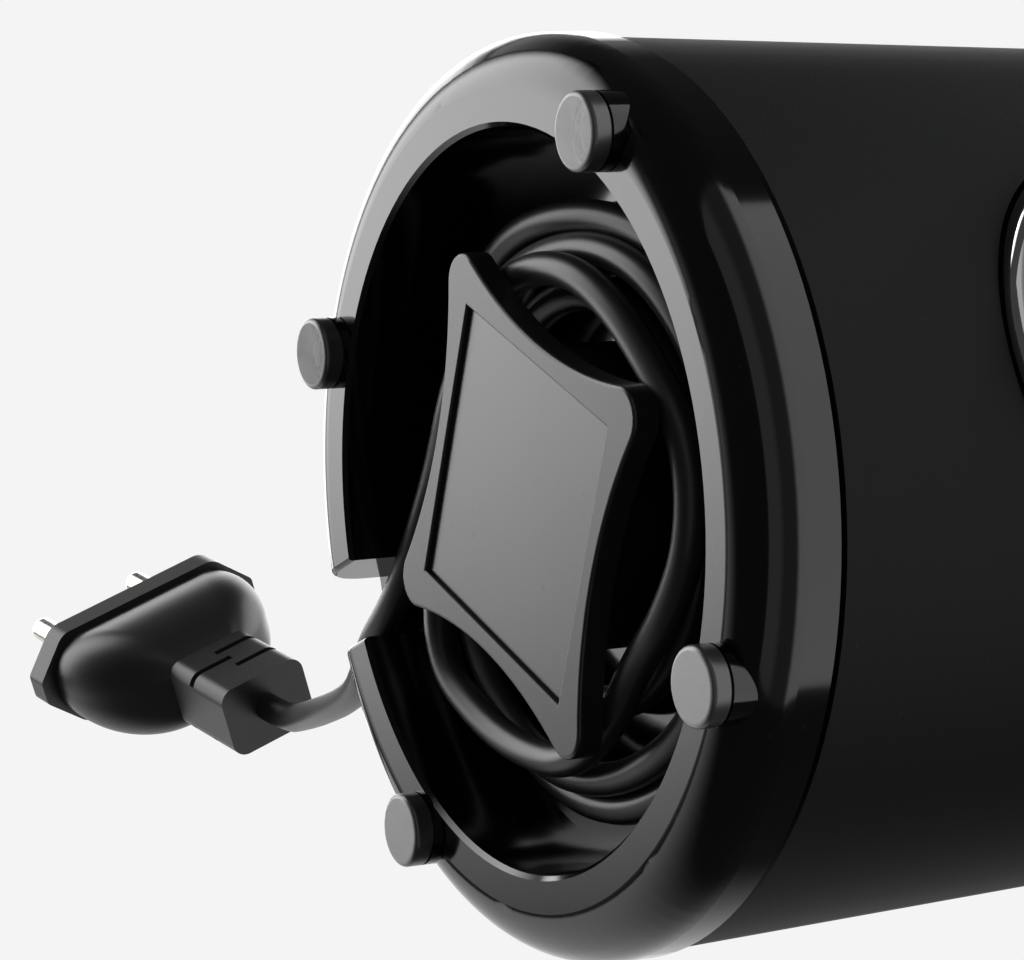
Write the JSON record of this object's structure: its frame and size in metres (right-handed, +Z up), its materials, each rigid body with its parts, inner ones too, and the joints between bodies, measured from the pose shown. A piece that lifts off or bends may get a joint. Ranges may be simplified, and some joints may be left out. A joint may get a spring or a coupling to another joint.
{
  "type": "mixer motor base",
  "caption": "Round motor base of a tabletop mixer with a cup seat, drive coupling and front knob on top, and a cord recess with wrap plate, wound flex and plug underneath.",
  "frame": {"origin": "on the body axis, in the plane that the four feet stand on", "axes": "+Z up along the motor shaft, -Y towards the knob, +Y towards the cord gap and plug"},
  "size_m": [0.12, 0.2577, 0.1305],
  "materials": {
    "gloss_black_plastic": "high gloss",
    "matte_black_plastic": "fine matte",
    "hub_black_plastic": "satin",
    "satin_grey_plastic": "satin",
    "label_film": "brushed film",
    "grey_rubber": "smooth",
    "black_rubber": "smooth",
    "chrome": "polished",
    "knob_plastic": "satin",
    "white_mark": "satin",
    "zinc_steel": "zinc plated",
    "motor_steel": "laminated",
    "copper": "varnished",
    "carbon": "matte",
    "brass": "pressed",
    "fan_nylon": "moulded",
    "coupling_nylon": "moulded",
    "switch_plastic": "moulded",
    "plunger_plastic": "moulded",
    "board": "laminate",
    "capacitor_yellow": "moulded",
    "wire_brown": "smooth",
    "wire_blue": "smooth",
    "flex_pvc": "satin",
    "nickel": "polished"
  },
  "bodies": {
    "base": {"base_housing": "gloss_black_plastic", "body_shell": "matte_black_plastic", "brush_holder_left": "brass", "brush_holder_right": "brass", "brush_springs": "zinc_steel", "carbon_brush_left": "carbon", "carbon_brush_right": "carbon", "case_screws": "zinc_steel", "cord_coil": "flex_pvc", "cord_gland": "black_rubber", "cord_hub": "hub_black_plastic", "cord_tube": "flex_pvc", "coupling_seal": "black_rubber", "cup_seat": "gloss_black_plastic", "field_coil_back": "copper", "field_coil_front": "copper", "filter_board": "board", "filter_capacitor": "capacitor_yellow", "foot_back_left": "grey_rubber", "foot_back_right": "grey_rubber", "foot_front_left": "grey_rubber", "foot_front_right": "grey_rubber", "hub_screws": "zinc_steel", "interlock_bracket": "switch_plastic", "knob_bezel": "chrome", "lower_bearing": "zinc_steel", "lower_motor_bracket": "zinc_steel", "mains_wire_live": "wire_brown", "mains_wire_neutral": "wire_blue", "microswitch": "switch_plastic", "motor_bolts": "zinc_steel", "motor_mounts": "black_rubber", "plug_body": "flex_pvc", "plug_pin_high": "nickel", "plug_pin_low": "nickel", "plug_relief": "flex_pvc", "plunger_spring": "zinc_steel", "rating_label": "label_film", "rotary_switch": "switch_plastic", "seat_gasket": "black_rubber", "spacer_sleeves": "zinc_steel", "stator_core": "motor_steel", "switch_nut": "zinc_steel", "terminal_block": "switch_plastic", "upper_bearing": "zinc_steel", "upper_motor_bracket": "zinc_steel", "wrap_plate": "satin_grey_plastic"},
    "rotor": {"rotor_shaft": "zinc_steel", "armature_core": "motor_steel", "armature_winding": "copper", "commutator": "copper", "cooling_fan": "fan_nylon", "drive_coupling": "coupling_nylon"},
    "knob": {"speed_knob": "knob_plastic", "knob_cap": "chrome", "knob_grip": "knob_plastic", "knob_pointer": "white_mark", "switch_shaft": "zinc_steel"},
    "plunger": {"interlock_plunger": "plunger_plastic"}
  },
  "joints": [
    {"name": "motor_spin", "type": "hinge", "parent": "base", "child": "rotor", "pos_m": [0, 0, 0.07], "axis": [0, 0, 1], "continuous": true},
    {"name": "knob_turn", "type": "hinge", "parent": "base", "child": "knob", "pos_m": [0, -0.0577, 0.07], "axis": [0, 1, 0], "range_deg": [-45, 90]},
    {"name": "interlock_press", "type": "slide", "parent": "base", "child": "plunger", "axis": [0, 0, -1], "range_m": [0, 0.0035], "stiffness_N_per_m": 400, "springref_m": -0.003, "deforming": ["plunger_spring"]}
  ]
}
